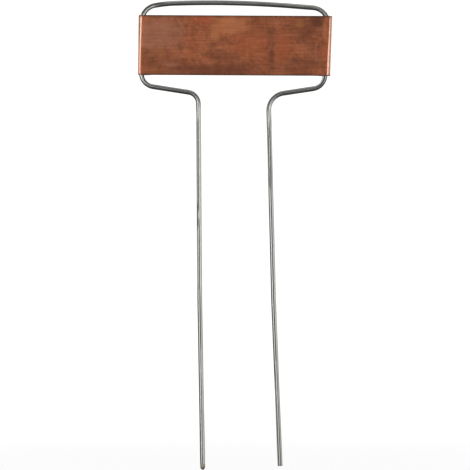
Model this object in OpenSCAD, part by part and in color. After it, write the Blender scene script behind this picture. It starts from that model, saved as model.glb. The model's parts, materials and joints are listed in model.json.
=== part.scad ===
// Plant label stake: one bent galvanised wire with two long legs and a hoop,
// and a copper name plate whose two ends are folded round the sides of the hoop.
// X is the width, Y the depth with the plate's face towards -Y, and Z is up.
// Z = 0 is the tip of the longer leg and X = 0 the middle of the plate.

/* [Overall] */
// Height from the tip of the longer leg to the top of the wire, mm
stake_h = 216.2; // [160:0.1:320]
// Width of the name plate over its two folds, mm
plate_w = 88.9; // [74:0.1:130]
// Height of the name plate, mm
plate_h = 27.6; // [20:0.1:40]

/* [Wire] */
// Diameter of the wire, mm
wire_d = 2.3; // [1.8:0.05:2.7]
// How much thinner the stretched wire is in its bends, mm
bend_thin = 0.02; // [0.02:0.01:0.1]

/* [Legs] */
// Distance between the two legs just under the shoulders, mm
leg_gap = 32.2; // [24:0.1:44]
// How far the pair of legs stands to the left of the plate's middle, mm
legs_off = 0.7; // [0:0.1:4]
// How much shorter the right leg is, mm
leg_step = 1.7; // [0:0.1:10]
// Height of the slight knee in both legs, mm
knee_h = 78.7; // [40:0.1:90]
// Lean of the left leg above its knee, degrees
lean_left = 0.4; // [0:0.1:2]
// Lean of the right leg above its knee, degrees
lean_right = 1.45; // [0:0.05:3]
// Bend of the left knee, degrees
knee_left = 0.6; // [0.4:0.1:2]
// Bend of the right knee, degrees
knee_right = 0.8; // [0.4:0.1:2]
// Radius of both knees, mm
knee_r = 200; // [100:10:400]
// Length of the pinched cut at the tip of the left leg, mm
nib_len = 1.5; // [0.8:0.1:3]
// Diameter left at the end of the pinched cut, mm
nib_d = 0.9; // [0.5:0.1:1.4]

/* [Shoulders] */
// Drop from the plate's lower edge to the corner of the left shoulder, mm
drop_left = 4.3; // [3.5:0.1:8]
// Drop from the plate's lower edge to the corner of the right shoulder, mm
drop_right = 5.3; // [4:0.1:8]
// Slope of the left shoulder, degrees
fall_left = 8.85; // [4:0.05:15]
// Slope of the right shoulder, degrees
fall_right = 8.6; // [4:0.1:15]
// Bend radius from the left leg into its shoulder, mm
neck_r_left = 5.4; // [4:0.1:8]
// Bend radius from the right shoulder into its leg, mm
neck_r_right = 7.9; // [4:0.1:9]
// Bend radius at the outer end of the left shoulder, mm
elbow_r_left = 6.3; // [4:0.1:7]
// Bend radius at the outer end of the right shoulder, mm
elbow_r_right = 6.2; // [4:0.1:7]

/* [Hoop] */
// Gap between the highest part of the top bar and the plate, mm
bar_gap = 4.8; // [4:0.05:10]
// How far the wire lies inside the middle of the left fold, mm
seat_left = 0.08; // [0.05:0.01:0.5]
// How far the wire lies inside the middle of the right fold, mm
seat_right = 0.5; // [0.5:0.1:1]
// Lean of the left side of the hoop, degrees
side_lean_left = 0.6; // [0:0.1:0.8]
// Lean of the right side of the hoop, degrees
side_lean_right = 3.8; // [3:0.1:4.5]
// Bend radius at the top left of the hoop, mm
top_r_left = 7.3; // [5:0.1:8]
// Bend radius at the top right of the hoop, mm
top_r_right = 7.6; // [5:0.1:8]
// Length over which the top left corner runs out into the bar, mm
ease_w = 11.2; // [11:0.1:14]
// Slope of that stretch, degrees
ease_rise = 9.5; // [6:0.1:12]
// Radius of the bend between that stretch and the bar, mm
ease_r = 60; // [20:1:64]
// Rise of the left part of the top bar, degrees
bar_rise = 1.75; // [1:0.05:3]
// Fall of the right part of the top bar, degrees
bar_fall = 4.55; // [2:0.05:6]
// Straight wire left between the corner and the bow of the bar, mm
bow_start = 1.4; // [0.8:0.1:6]

/* [Name plate] */
// Thickness of the copper sheet, mm
sheet_t = 0.25; // [0.2:0.05:0.5]
// Room between the wire and the inside of a fold, mm
fold_clear = 0.1; // [0.08:0.01:0.3]
// Flat stretch of the turned back flap, which leaves the wire room inwards, mm
pocket_w = 3; // [2.6:0.1:5]
// Angle at which the flap turns down to the back of the plate, degrees
tuck_angle = 50; // [40:1:60]
// Width of the flap's lip that lies on the back of the plate, mm
lip_w = 1.2; // [0.8:0.1:3]
// Tilt of the plate on the hoop, right end down, degrees
plate_tilt = 0.3; // [0:0.1:0.6]
// Lean of the left fold line against the plate's end, degrees
fold_lean_left = 0.5; // [0:0.1:1]
// Lean of the right fold line against the plate's end, degrees
fold_lean_right = 1.7; // [1.2:0.1:2.4]

/* [Hidden] */
zinc = [0.56, 0.56, 0.54];
copper = [0.56, 0.33, 0.23];
facets = 32;
wire_r = wire_d / 2;
bend_d = wire_d - bend_thin;
// A bend reaches this far into the straight wire at each of its ends
bend_lap = 0.2;
// Each bend is drawn in at least this many steps
bend_steps = 6;

fold_in = wire_r + fold_clear;
fold_out = fold_in + sheet_t;
// The middle of each fold at half the plate's height
fold_x = plate_w / 2 - fold_out;
bar_z = stake_h - wire_r;
plate_top = stake_h - wire_d - bar_gap;
plate_mid = plate_top - plate_h / 2;
plate_low = plate_top - plate_h;

// The wire is drawn as straight runs, each a point it passes through and the
// angle it runs at, from the left tip up, over the hoop and down to the right tip.
side_left = [-fold_x + seat_left, plate_mid];
side_right = [fold_x - seat_right, plate_mid];
angle_side_left = 90 - side_lean_left;
angle_side_right = -90 - side_lean_right;
angle_leg_left = 90 + lean_left;
angle_leg_right = -90 + lean_right;
elbow_left = level(side_left, angle_side_left, plate_low - drop_left);
elbow_right = level(side_right, angle_side_right, plate_low - drop_right);
neck_left = [-legs_off - leg_gap / 2, elbow_left[1]];
neck_right = [-legs_off + leg_gap / 2, elbow_right[1]];

// The bar's two slopes cross over the plate's middle, above the bow between them
bow_turn = bar_rise + bar_fall;
ease_turn = ease_rise - bar_rise;
ease_x = side_left[0] + ease_w;
bow_reach = -ease_x / cos(bar_rise) - ease_r * tan(ease_turn / 2) - bow_start;
bow_r = bow_reach / tan(bow_turn / 2);
bow_peak = [0, bar_z + bow_reach * sin(bar_rise) - bow_r * (1 - cos(bar_rise))];
ease_end = bow_peak + dir(bar_rise) * ease_x / cos(bar_rise);

knee_point_left = level(neck_left, angle_leg_left, knee_h);
knee_point_right = level(neck_right, angle_leg_right, knee_h);
runs = [
    [knee_point_left, angle_leg_left + knee_left],
    [neck_left, angle_leg_left],
    [elbow_left, 180 - fall_left],
    [side_left, angle_side_left],
    [ease_end, ease_rise],
    [bow_peak, bar_rise],
    [bow_peak, -bar_fall],
    [side_right, angle_side_right],
    [elbow_right, fall_right - 180],
    [neck_right, angle_leg_right],
    [knee_point_right, angle_leg_right + knee_right]
];
bend_r = [
    knee_r, neck_r_left, elbow_r_left, top_r_left, ease_r,
    bow_r, top_r_right, elbow_r_right, neck_r_right, knee_r
];
bends = len(bend_r);
turns = [for (i = [0:bends - 1]) runs[i + 1][1] - runs[i][1]];
corners = [for (i = [0:bends - 1]) meet(runs[i], runs[i + 1])];
trims = [for (i = [0:bends - 1]) bend_r[i] * tan(abs(turns[i]) / 2)];
tip_left = level(runs[0][0], runs[0][1], 0);
tip_right = level(runs[bends][0], runs[bends][1], leg_step);
starts = [
    tip_left + dir(runs[0][1]) * nib_len,
    for (i = [0:bends - 1]) corners[i] + dir(runs[i + 1][1]) * trims[i]
];
ends = [
    for (i = [0:bends - 1]) corners[i] - dir(runs[i][1]) * trims[i],
    tip_right
];

// The flap runs flat behind the wire, turns down and ends in a lip on the sheet
tuck_run = 2 * fold_in / tan(tuck_angle);
tuck_miter = sheet_t * tan(tuck_angle / 2);
lip_start = pocket_w + tuck_run;
lip_end = lip_start + tuck_miter + lip_w;
// The hems are made this much too long and trimmed with the sheet
trim = 2;

// Unit vector at an angle in the plane of the wire
function dir(a) = [cos(a), sin(a)];

// The point at height z on the line through p at angle a
function level(p, a, z) = p + dir(a) * (z - p[1]) / sin(a);

// Where two runs cross
function meet(a, b) =
    a[0] + dir(a[1]) * cross(b[0] - a[0], dir(b[1])) / cross(dir(a[1]), dir(b[1]));

// A straight piece of wire between two points of the wire's plane
module straight_wire(from, to, angle) {
    translate([from[0], 0, from[1]])
        rotate([0, 90 - angle, 0])
            cylinder(h = norm(to - from), d = wire_d, $fn = facets);
}

// A bend that begins at a point, running at an angle, and turns with a radius
module bent_wire(from, angle, turn, r) {
    side = sign(turn);
    centre = from + dir(angle + 90 * side) * r;
    lap = bend_lap / r * 180 / PI;
    first = angle - 90 * side + min(turn, 0) - lap;
    sweep = abs(turn) + 2 * lap;
    translate([centre[0], 0, centre[1]])
        rotate([90, 0, 0])
            rotate([0, 0, first])
                rotate_extrude(angle = sweep, $fn = max(facets, ceil(bend_steps * 360 / sweep)))
                    translate([r, 0])
                        circle(d = bend_d, $fn = facets);
}

// The pinched end that a side cutter leaves
module nib() {
    translate([tip_left[0], 0, tip_left[1]])
        rotate([0, 90 - runs[0][1], 0])
            cylinder(h = nib_len, d1 = nib_d, d2 = wire_d, $fn = facets);
}

// The one wire: legs, shoulders and hoop
module wire_stake() {
    color(zinc) union() {
        nib();
        for (i = [0:bends])
            straight_wire(starts[i], ends[i], runs[i][1]);
        for (i = [0:bends - 1])
            bent_wire(ends[i], runs[i][1], turns[i], bend_r[i]);
    }
}

// Section of a folded end, with the middle of the fold at its origin
// and the plate running towards +X
module hem_section() {
    difference() {
        circle(r = fold_out, $fn = facets);
        circle(r = fold_in, $fn = facets);
        translate([0, -2 * fold_out])
            square([2 * fold_out, 4 * fold_out]);
    }
    translate([0, -fold_out])
        square([lip_end, sheet_t]);
    polygon([
        [0, fold_in], [0, fold_out],
        [pocket_w + tuck_miter, fold_out],
        [lip_start + tuck_miter, sheet_t - fold_in],
        [lip_end, sheet_t - fold_in],
        [lip_end, -fold_in],
        [lip_start, -fold_in],
        [pocket_w, fold_in]
    ]);
}

// A folded end of the plate, leaning about its middle
module hem(lean) {
    rotate([0, lean, 0])
        linear_extrude(height = plate_h + 2 * trim, center = true)
            hem_section();
}

// The flat sheet between the two hems
module face_sheet() {
    half = plate_h / 2 + trim;
    left = -fold_x + lip_end / 2;
    right = fold_x - lip_end / 2;
    slant_left = half * tan(fold_lean_left);
    slant_right = half * tan(fold_lean_right);
    translate([0, -fold_in, 0])
        rotate([90, 0, 0])
            linear_extrude(height = sheet_t)
                polygon([
                    [left - slant_left, -half], [right - slant_right, -half],
                    [right + slant_right, half], [left + slant_left, half]
                ]);
}

// The copper sheet with both ends folded back round the wire
module name_plate() {
    color(copper)
        translate([0, 0, plate_mid])
            rotate([0, plate_tilt, 0])
                intersection() {
                    union() {
                        face_sheet();
                        translate([-fold_x, 0, 0])
                            hem(fold_lean_left);
                        translate([fold_x, 0, 0])
                            mirror([1, 0, 0])
                                hem(-fold_lean_right);
                    }
                    cube([2 * plate_w, 4 * fold_out, plate_h], center = true);
                }
}

wire_stake();
name_plate();
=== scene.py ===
import json
import math
from dataclasses import dataclass

import bpy
from bpy.props import FloatProperty, FloatVectorProperty, IntProperty, PointerProperty
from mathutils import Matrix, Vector, noise


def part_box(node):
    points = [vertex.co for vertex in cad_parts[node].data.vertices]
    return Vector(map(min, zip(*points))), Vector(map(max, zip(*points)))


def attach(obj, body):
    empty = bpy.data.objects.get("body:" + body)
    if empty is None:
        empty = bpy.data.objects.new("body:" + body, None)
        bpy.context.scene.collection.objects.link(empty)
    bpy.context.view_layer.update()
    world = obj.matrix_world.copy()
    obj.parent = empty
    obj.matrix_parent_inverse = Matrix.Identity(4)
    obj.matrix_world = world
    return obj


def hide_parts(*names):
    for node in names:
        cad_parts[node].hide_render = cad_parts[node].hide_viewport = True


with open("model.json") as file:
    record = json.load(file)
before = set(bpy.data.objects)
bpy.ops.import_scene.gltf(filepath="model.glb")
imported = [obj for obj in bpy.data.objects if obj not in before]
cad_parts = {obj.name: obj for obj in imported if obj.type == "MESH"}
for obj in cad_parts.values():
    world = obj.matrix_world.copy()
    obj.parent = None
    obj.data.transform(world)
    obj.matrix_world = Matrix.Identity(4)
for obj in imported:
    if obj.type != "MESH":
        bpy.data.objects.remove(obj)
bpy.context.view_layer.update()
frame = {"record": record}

bl_info = {
    "name": "Plant Label Stake",
    "version": (1, 0, 0),
    "blender": (4, 5, 0),
    "location": "View3D > Sidebar > Label Stake",
    "description": "Dresses a bent wire stake and its folded copper name plate",
    "category": "Add Mesh",
}

MM = 0.001
PLATE_LOW, PLATE_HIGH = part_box("name_plate")
WIRE_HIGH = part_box("wire_stake")[1]
MOUNTS = {mount["name"]: mount for mount in frame["record"]["mounts"]}


def leg_line(name):
    """A leg's line in the plane of the wire, from its mount: a point and the upward angle."""
    mount = MOUNTS[name]
    x, _, z = mount["pos_m"]
    dx, _, dz = mount["axis"]
    return (x, z), math.atan2(-dz, -dx)


def size_prop(label, words, value):
    """A length, given in millimetres."""
    return FloatProperty(name=label, description=words, default=value * MM, unit="LENGTH")


def angle_prop(label, words, degrees):
    """An angle, given in degrees."""
    return FloatProperty(
        name=label, description=words, default=math.radians(degrees), subtype="ANGLE")


def light_prop(label, words, value):
    """The strength of a light."""
    return FloatProperty(name=label, description=words, default=value, min=0)


def colour(label, words, value):
    """A colour, as linear values."""
    return FloatVectorProperty(
        name=label, description=words, default=value, subtype="COLOR", min=0, max=1)


class WireShape(bpy.types.PropertyGroup):
    """Sizes of the bent wire."""

    wire_d: size_prop(
        "Wire diameter", "Diameter of the galvanised wire", 2 * MOUNTS["leg_left"]["dims"]["r_mm"])
    knee_h: size_prop("Knee height", "Height of the slight knee in both legs", 78.7)
    knee_left: angle_prop("Left knee", "How much the left leg bends at its knee", 0.6)
    knee_right: angle_prop("Right knee", "How much the right leg bends at its knee", 0.8)
    knee_r: size_prop("Knee radius", "Radius of both knees", 200)
    drop_left: size_prop(
        "Left shoulder drop", "From the plate's lower edge to the left shoulder's corner", 4.3)
    drop_right: size_prop(
        "Right shoulder drop", "From the plate's lower edge to the right shoulder's corner", 5.3)
    fall_left: angle_prop("Left shoulder slope", "Slope of the left shoulder", 8.85)
    fall_right: angle_prop("Right shoulder slope", "Slope of the right shoulder", 8.6)
    neck_r_left: size_prop("Left neck radius", "Bend from the left leg into its shoulder", 5.4)
    neck_r_right: size_prop("Right neck radius", "Bend from the right shoulder into its leg", 7.9)
    elbow_r_left: size_prop("Left elbow radius", "Bend at the outer end of the left shoulder", 6.3)
    elbow_r_right: size_prop(
        "Right elbow radius", "Bend at the outer end of the right shoulder", 6.2)
    seat_left: size_prop(
        "Left seat", "How far the wire lies inside the middle of the left fold", 0.08)
    seat_right: size_prop(
        "Right seat", "How far the wire lies inside the middle of the right fold", 0.5)
    side_lean_left: angle_prop("Left side lean", "Lean of the left side of the hoop", 0.6)
    side_lean_right: angle_prop("Right side lean", "Lean of the right side of the hoop", 3.8)
    top_r_left: size_prop("Top left radius", "Bend at the top left of the hoop", 7.3)
    top_r_right: size_prop("Top right radius", "Bend at the top right of the hoop", 7.6)
    ease_w: size_prop(
        "Corner run-out", "Length over which the top left corner runs out into the bar", 11.2)
    ease_rise: angle_prop("Run-out slope", "Slope of that stretch", 9.5)
    ease_r: size_prop("Run-out radius", "Bend between that stretch and the bar", 60)
    bar_rise: angle_prop("Bar rise", "Rise of the left part of the top bar", 1.75)
    bar_fall: angle_prop("Bar fall", "Fall of the right part of the top bar", 4.55)
    bow_start: size_prop(
        "Bow start", "Straight wire between the run-out and the bow of the bar", 1.4)
    nib_len: size_prop("Pinched cut", "Length of the pinched cut at the left leg's tip", 1.5)
    sides: IntProperty(
        name="Sides", description="Faces round the wire", default=24, min=8, max=64)
    step: size_prop("Step", "Distance between the rings on straight wire", 1.2)


class PlateShape(bpy.types.PropertyGroup):
    """Sizes of the folded copper sheet."""

    width: size_prop("Width", "Width of the plate over its folds", 88.9)
    height: size_prop("Height", "Height of the plate", 27.6)
    sheet_t: size_prop("Sheet", "Thickness of the copper sheet", 0.25)
    fold_clear: size_prop("Fold clearance", "Room between the wire and the inside of a fold", 0.1)
    pocket_w: size_prop("Pocket", "Flat stretch of the turned back flap", 3)
    tuck_angle: angle_prop(
        "Tuck", "Angle at which the flap turns down to the back of the plate", 50)
    lip_w: size_prop("Lip", "Width of the lip that lies on the back of the plate", 1.3)
    tilt: angle_prop("Tilt", "Tilt of the plate, right end down", 0.3)
    lean_left: angle_prop("Left fold lean", "Lean of the left fold line", 0.5)
    lean_right: angle_prop("Right fold lean", "Lean of the right fold line", 1.7)
    dish: size_prop("Dish", "How far the face of the sheet waves inwards", 0.16)
    rim_r: size_prop("Rim", "Rounding of the sheet's cut edges", 0.12)


class Finishes(bpy.types.PropertyGroup):
    """Colours of the two metals, as linear values."""

    zinc_light: colour(
        "Zinc, light", "Bright drawn streaks of the galvanised wire", (0.312, 0.312, 0.299))
    zinc_dark: colour("Zinc, dull", "Dull stretches of the galvanised wire", (0.123, 0.121, 0.116))
    # Pale flank from the wiping die on the left leg, and the colour of the painted highlights and
    # painted reflections of the white backdrop along the wire's edges
    zinc_wiped: colour(
        "Zinc, wiped", "Pale flanks that the wiping die left on the legs", (0.607, 0.611, 0.582))
    # Real dark marks, and the painted shade: dark reflections painted along the legs, bends and
    # edges
    zinc_seam: colour("Zinc, seam", "Dark drawn lines along the wire", (0.029, 0.029, 0.026))
    rust: colour("Rust", "Rust at the cut tip", (0.303, 0.262, 0.213))
    rust_dark: colour("Rust, dark", "Darkest rust on the pinched cut", (0.107, 0.082, 0.059))
    copper_light: colour(
        "Copper, light", "Lighter lines of the rolled sheet", (0.394, 0.135, 0.066))
    copper_dark: colour("Copper, dark", "Darker lines of the rolled sheet", (0.143, 0.045, 0.021))
    copper_warm: colour("Copper, warm", "Warm bright patches", (0.41, 0.152, 0.068))
    copper_red: colour("Copper, red", "Reddish patches", (0.312, 0.086, 0.039))
    copper_rose: colour("Copper, rose", "Rosiest patch, near the top edge", (0.40, 0.08, 0.042))
    copper_gold: colour("Copper, gold", "Golden brown patches", (0.275, 0.108, 0.038))
    # Freshly stretched copper on the folds, brightened to serve also as their painted highlight;
    # also the pale dots and scratches
    copper_bare_and_highlight: colour(
        "Copper, bare", "Freshly stretched metal on the folds", (0.64, 0.361, 0.258))
    film_grey: colour("Film, grey", "Grey brown film of age", (0.295, 0.129, 0.079))
    film_dark: colour("Film, dark", "Dark brown film of age", (0.107, 0.039, 0.024))
    # Dark sheared edge, also painting the shade of the rolled-over face beside the long edges
    cut_edge_and_shade: colour("Cut edge", "Dark sheared edges of the sheet", (0.053, 0.033, 0.025))


@dataclass
class Patch:
    """A soft stain, or a patch of painted shade or painted reflection, on the sheet, in millimetres
    from the middle of the face.
    """

    x: float
    z: float
    half_w: float
    half_h: float
    finish: str
    share: float
    drift: float = 8.0
    turn: float = 0.0


PATCHES = {
    "grey_left": Patch(-36, 5, 13, 9, "film_grey", 0.6),
    "brown_left_low": Patch(-33, -8, 12, 6, "film_dark", 0.3),
    "dark_low_band": Patch(-8, -11.5, 24, 3.5, "film_dark", 0.65),
    "dark_below_middle": Patch(-5, -5, 8, 3, "film_dark", 0.35),
    "dark_right_low": Patch(30, -8.5, 12, 5, "film_dark", 0.45),
    "dark_right_high": Patch(33, 9, 12, 6, "film_dark", 0.4),
    "red_high": Patch(-15, 12.2, 5, 2.2, "copper_rose", 0.5, 6.0),
    "red_right": Patch(22, -1, 4, 9, "copper_red", 0.6),
    "red_middle": Patch(6, 1, 9, 7, "copper_red", 0.45),
    "warm_high": Patch(-2, 9.6, 9, 4.5, "copper_warm", 0.7),
    "warm_spot": Patch(-9, 5, 2.5, 3.5, "copper_warm", 0.5),
    # Painted reflection: a warm band on the face beside the right fold
    "reflection_beside_fold": Patch(41.6, 7, 1.3, 6.5, "copper_warm", 0.4, 1.5),
    "gold_right": Patch(29.8, 10.2, 1.9, 2.8, "copper_gold", 0.6, 4.5),
    "gold_left": Patch(-36.5, -4, 4, 3, "copper_gold", 0.18),
    "dark_corner": Patch(37.6, 11.5, 3.4, 3.2, "film_dark", 0.7, 4.0),
    "smudge_right": Patch(17.2, -4.5, 1.2, 3.4, "film_dark", 0.55, 3.0),
    "rub_left": Patch(-25, 9.8, 4.2, 0.6, "film_grey", 0.5, 1.0, math.radians(-57)),
    "rub_right": Patch(37.3, -2.6, 4.6, 0.35, "film_grey", 0.6, 1.0, math.radians(88)),
    "spot_left_high": Patch(-26.7, 7.2, 2.2, 1.2, "film_grey", 0.5, 4.0),
    "spot_left_low": Patch(-29, -9, 4, 1.1, "film_grey", 0.5, 4.0),
}

# Painted shade on the outer sides of the two folds
FOLD_SHADE = {
    "left_fold_high": Patch(-44.8, 8.5, 1.0, 9, "film_dark", 0.85, 0.3),
    "right_fold_low": Patch(45.6, -9, 0.5, 6, "film_dark", 0.3, 0.5),
}


@dataclass
class Line:
    """A line along the wire, in millimetres: where it starts and ends, and its place across;
    most pale lines are painted highlights and most dark lines painted shade.

    Across is counted from the wire's middle, positive towards the outside of the hoop, and the
    line moves by its drift from its start to its end."""

    start: float
    end: float
    across: float
    half_w: float
    finish: str
    share: float
    drift: float = 0.0


# Painted light on the wire: the pale lines mostly paint the side lamps' highlights and the white
# backdrop's reflection at the edges, and the dark lines mostly paint dark reflections. The left
# leg's pale flank is partly the wire's own finish, and left_mark is a real dark mark.
LINES = {
    "left_flank_low": Line(-5, 88, -0.78, 0.5, "zinc_wiped", 0.9),
    "left_flank_high": Line(84, 168, -0.64, 0.6, "zinc_wiped", 0.95),
    "left_edge_low": Line(2, 82, 0.86, 0.2, "zinc_seam", 0.75),
    "left_edge_high": Line(100, 126, 0.85, 0.22, "zinc_seam", 0.35),
    "left_dark_low": Line(-5, 56, 0.0, 0.18, "zinc_seam", 0.6),
    "left_dark_middle": Line(56, 82, -0.08, 0.28, "zinc_seam", 1.0),
    "left_dark_high": Line(82, 114, 0.15, 0.26, "zinc_seam", 1.0, -0.1),
    "left_dark_top": Line(118, 162, 0.38, 0.26, "zinc_seam", 0.9, -0.16),
    "left_light_low": Line(2, 82, 0.4, 0.16, "zinc_wiped", 0.9),
    "left_light_middle": Line(84, 111, 0.62, 0.16, "zinc_wiped", 0.9),
    "left_light_high": Line(122, 166, 0.85, 0.22, "zinc_wiped", 0.7),
    "left_mark": Line(112.5, 116.5, 0.3, 0.42, "zinc_seam", 1.0),
    "right_flank": Line(410, 499, 0.72, 0.44, "zinc_wiped", 1.0),
    "right_dark_neck": Line(366, 379, -0.35, 0.35, "zinc_seam", 0.3),
    "right_light_neck": Line(370, 382, 0.85, 0.3, "zinc_wiped", 1.0),
    "right_edge_high": Line(384, 413, 0.97, 0.42, "zinc_wiped", 1.0),
    "right_edge_low": Line(494, 545, 0.97, 0.4, "zinc_wiped", 1.0),
    "right_dark_high": Line(384, 413, 0.28, 0.22, "zinc_seam", 1.0),
    "right_dark_middle": Line(411, 494, 0.05, 0.28, "zinc_seam", 1.0),
    "right_dark_low": Line(494, 545, 0.27, 0.2, "zinc_seam", 0.75),
    "right_light_high": Line(384, 404, -0.1, 0.12, "zinc_wiped", 0.5),
    "right_light_middle": Line(412, 494, -0.42, 0.16, "zinc_wiped", 0.7),
    "right_light_low": Line(494, 545, -0.12, 0.16, "zinc_wiped", 1.0),
    "right_inner_high": Line(384, 414, -0.56, 0.26, "zinc_seam", 1.0),
    "right_inner_middle": Line(414, 494, -0.86, 0.22, "zinc_seam", 0.8),
    "right_inner_low": Line(494, 545, -0.6, 0.24, "zinc_seam", 0.75),
    "right_rim_high": Line(384, 408, -1.02, 0.2, "zinc_wiped", 0.9),
    "right_rim_low": Line(500, 545, -1.05, 0.24, "zinc_wiped", 1.0),
    "elbow_right": Line(342, 352, -0.08, 0.42, "zinc_seam", 0.85),
    "elbow_right_inner": Line(343, 351, -0.95, 0.4, "zinc_wiped", 1.0),
    "top_left_outer": Line(228, 241, 0.65, 0.48, "zinc_seam", 0.8),
    "top_left_inner": Line(224, 237, -0.34, 0.24, "zinc_wiped", 1.0),
}


class StageSet(bpy.types.PropertyGroup):
    """Camera, lamps and backdrop."""

    frame_h: size_prop("Picture height", "Height of the picture in the plane of the wire", 216.5)
    camera_x: size_prop(
        "Camera offset", "How far the camera stands to the right of the middle", 0.12)
    camera_z: size_prop("Camera height", "Height of the camera above the floor", 108.05)
    camera_y: size_prop("Camera distance", "Distance from the camera to the wire", 1500)
    room: light_prop("Room light", "Strength of the plain light all round", 0.55)
    left_lamp: light_prop("Left lamp", "Power of the soft lamp at the left, in watts", 3.4)
    right_lamp: light_prop("Right lamp", "Power of the soft lamp at the right, in watts", 2.45)
    lamp_angle: angle_prop("Lamp angle", "How far each lamp stands to the side of the camera", 36)
    lamp_away: size_prop("Lamp distance", "Distance from the lamps to the wire", 900)
    lamp_z: size_prop("Lamp height", "Height of the lamps' middles", 120)
    top_lamp: light_prop("Top lamp", "Power of the soft lamp overhead, in watts", 1.45)
    back_lamp: light_prop("Back lamp", "Power of the soft lamp high up behind, in watts", 3.2)


def direction(angle):
    return Vector((math.cos(angle), math.sin(angle)))


def cross(a, b):
    return a[0] * b[1] - a[1] * b[0]


def level(point, angle, z):
    """The point at height z on the line through a point at an angle."""
    return Vector(point) + direction(angle) * (z - point[1]) / math.sin(angle)


def meet(a, b):
    """Where two straight runs cross."""
    (p, angle_a), (q, angle_b) = a, b
    da, db = direction(angle_a), direction(angle_b)
    return Vector(p) + da * cross(Vector(q) - Vector(p), db) / cross(da, db)


def smooth(low, high, value):
    """Rises from 0 at low to 1 at high with soft ends."""
    t = min(max((value - low) / (high - low), 0), 1)
    return t * t * (3 - 2 * t)


def spread(low, high, count):
    """Evenly spaced values from low to high, both included."""
    return [low + (high - low) * i / (count - 1) for i in range(count)]


def wire_runs(wire, plate):
    """The wire's straight runs and bend radii, from the left tip over the hoop to the right tip."""
    fold_x = plate.width / 2 - plate.sheet_t - plate.fold_clear - wire.wire_d / 2
    plate_mid = (PLATE_LOW[2] + PLATE_HIGH[2]) / 2
    plate_low = plate_mid - plate.height / 2
    quarter, half = math.pi / 2, math.pi
    side_left = Vector((-fold_x + wire.seat_left, plate_mid))
    side_right = Vector((fold_x - wire.seat_right, plate_mid))
    angle_side_left = quarter - wire.side_lean_left
    angle_side_right = -quarter - wire.side_lean_right
    elbow_left = level(side_left, angle_side_left, plate_low - wire.drop_left)
    elbow_right = level(side_right, angle_side_right, plate_low - wire.drop_right)
    tip_left, up_left = leg_line("leg_left")
    tip_right, up_right = leg_line("leg_right")
    down_right = up_right - half
    knee_left = level(tip_left, up_left, wire.knee_h)
    knee_right = level(tip_right, down_right, wire.knee_h)
    reach = wire.bar_rise + wire.bar_fall
    ease_x = side_left[0] + wire.ease_w
    bow_reach = (
        -ease_x / math.cos(wire.bar_rise) - wire.bow_start
        - wire.ease_r * math.tan((wire.ease_rise - wire.bar_rise) / 2))
    bow_r = bow_reach / math.tan(reach / 2)
    crest = WIRE_HIGH[2] - wire.wire_d / 2
    peak_z = crest + bow_reach * math.sin(wire.bar_rise) - bow_r * (1 - math.cos(wire.bar_rise))
    peak = Vector((0, peak_z))
    ease_end = peak + direction(wire.bar_rise) * ease_x / math.cos(wire.bar_rise)
    runs = [
        (knee_left, up_left),
        (knee_left, up_left - wire.knee_left),
        (elbow_left, half - wire.fall_left),
        (side_left, angle_side_left),
        (ease_end, wire.ease_rise),
        (peak, wire.bar_rise),
        (peak, -wire.bar_fall),
        (side_right, angle_side_right),
        (elbow_right, wire.fall_right - half),
        (knee_right, down_right - wire.knee_right),
        (knee_right, down_right),
    ]
    radii = [
        wire.knee_r, wire.neck_r_left, wire.elbow_r_left, wire.top_r_left, wire.ease_r,
        bow_r, wire.top_r_right, wire.elbow_r_right, wire.neck_r_right, wire.knee_r]
    foot_left = Vector(tip_left) - direction(up_left) * wire.nib_len
    return runs, radii, foot_left, Vector(tip_right)


def wire_stations(wire, plate):
    """Places along the wire's middle line.

    Each is a point, an angle, the distance from the left tip, and how sharply the wire bends."""
    runs, radii, start, finish = wire_runs(wire, plate)
    stations = []
    travelled = 0.0
    here = start
    bend_step = math.radians(4)
    # A bend of this radius or less shows all of its marks
    tight = 3 * wire.wire_d

    def straight(to, angle, last):
        nonlocal travelled, here
        length = (to - here).length
        count = max(2, math.ceil(length / wire.step))
        for t in spread(0, length, count + 1)[: count + last]:
            stations.append((here + direction(angle) * t, angle, travelled + t, 0.0))
        travelled += length
        here = to

    for i, radius in enumerate(radii):
        angle = runs[i][1]
        turn = runs[i + 1][1] - angle
        corner = meet(runs[i], runs[i + 1])
        straight(corner - direction(angle) * radius * math.tan(abs(turn) / 2), angle, 0)
        side = math.copysign(math.pi / 2, turn)
        centre = here + direction(angle + side) * radius
        count = max(3, math.ceil(abs(turn) / bend_step), math.ceil(abs(turn) * radius / wire.step))
        sharp = min(1.0, tight / radius)
        for t in spread(0, turn, count + 1)[:count]:
            point = centre + direction(angle + t - side) * radius
            ramp = math.sin(math.pi * t / turn) ** 0.5 if t else 0.0
            stations.append((point, angle + t, travelled + abs(t) * radius, sharp * ramp))
        travelled += abs(turn) * radius
        here = centre + direction(angle + turn - side) * radius
    straight(finish, runs[-1][1], 1)
    return stations


def mesh_piece(name, points, faces, values, material):
    """A smooth shaded mesh object with named vectors or numbers on its points."""
    mesh = bpy.data.meshes.new(name)
    mesh.from_pydata([tuple(p) for p in points], [], faces)
    for label, column in values.items():
        if isinstance(column[0], (tuple, Vector)):
            layer = mesh.attributes.new(label, "FLOAT_VECTOR", "POINT")
            for i, value in enumerate(column):
                layer.data[i].vector = value
        else:
            layer = mesh.attributes.new(label, "FLOAT", "POINT")
            for i, value in enumerate(column):
                layer.data[i].value = value
    mesh.validate()
    mesh.shade_smooth()
    mesh.materials.append(material)
    piece = bpy.data.objects.new(name, mesh)
    bpy.context.scene.collection.objects.link(piece)
    return piece


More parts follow.
